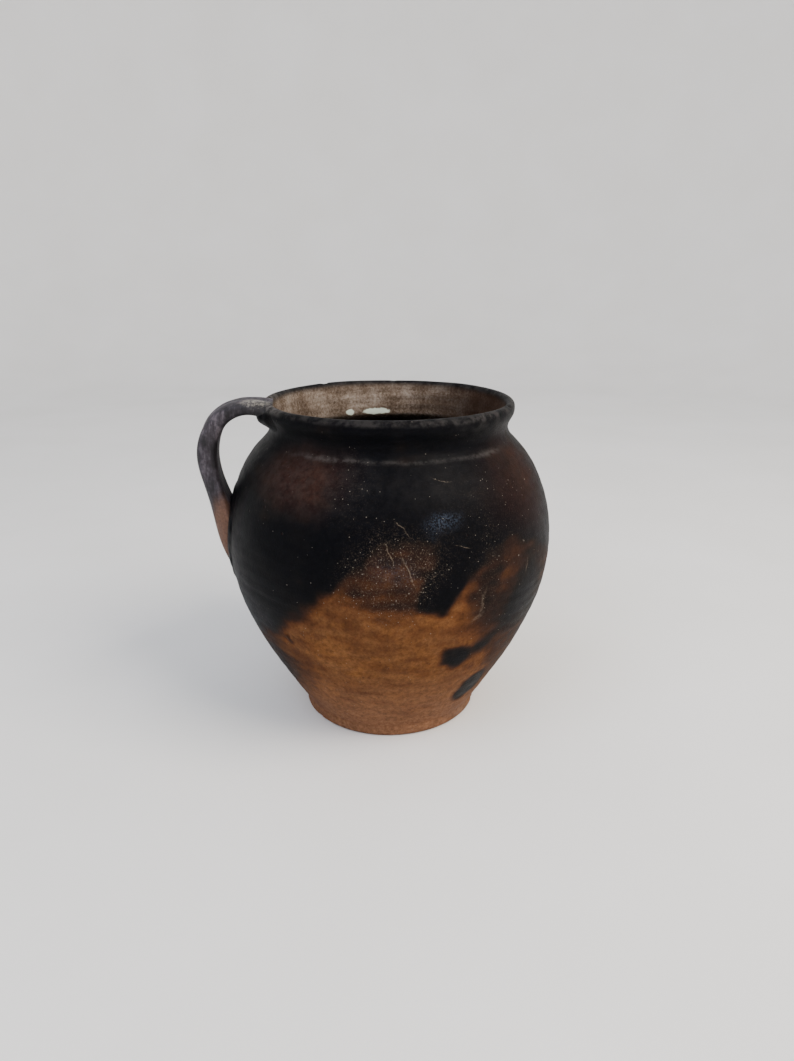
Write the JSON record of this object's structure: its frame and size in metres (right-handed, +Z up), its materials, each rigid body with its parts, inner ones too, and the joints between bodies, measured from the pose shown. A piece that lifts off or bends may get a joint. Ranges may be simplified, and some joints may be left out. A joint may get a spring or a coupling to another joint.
{
  "type": "clay pot",
  "caption": "Round-bellied earthenware pot with a flat foot, a short flared neck with a thick lip, and a strap handle from rim to belly; smoke-blackened over brown clay.",
  "frame": {"origin": "centre of the flat underside, on the pot's axis", "axes": "+Z up along the pot's axis; the handle is on the -X side, in the XZ plane; +Y completes the right-handed frame"},
  "size_m": [0.2367, 0.2202, 0.221],
  "materials": {
    "smoked_clay": "burnished, smoke-blackened, satin to waxy",
    "brown_clay": "unglazed, lightly burnished, matt to satin, with grey fire clouds",
    "greyed_clay": "unglazed, smoked grey-brown, matt, dusty"
  },
  "bodies": {
    "root": {"base_disc": "brown_clay", "lower_wall": "brown_clay", "belly_wall": "smoked_clay", "shoulder_wall": "smoked_clay", "neck_collar": "smoked_clay", "rim_coil": "smoked_clay", "handle_strap": "greyed_clay", "handle_top_wad": "smoked_clay", "handle_tail_wad": "smoked_clay"}
  },
  "joints": []
}
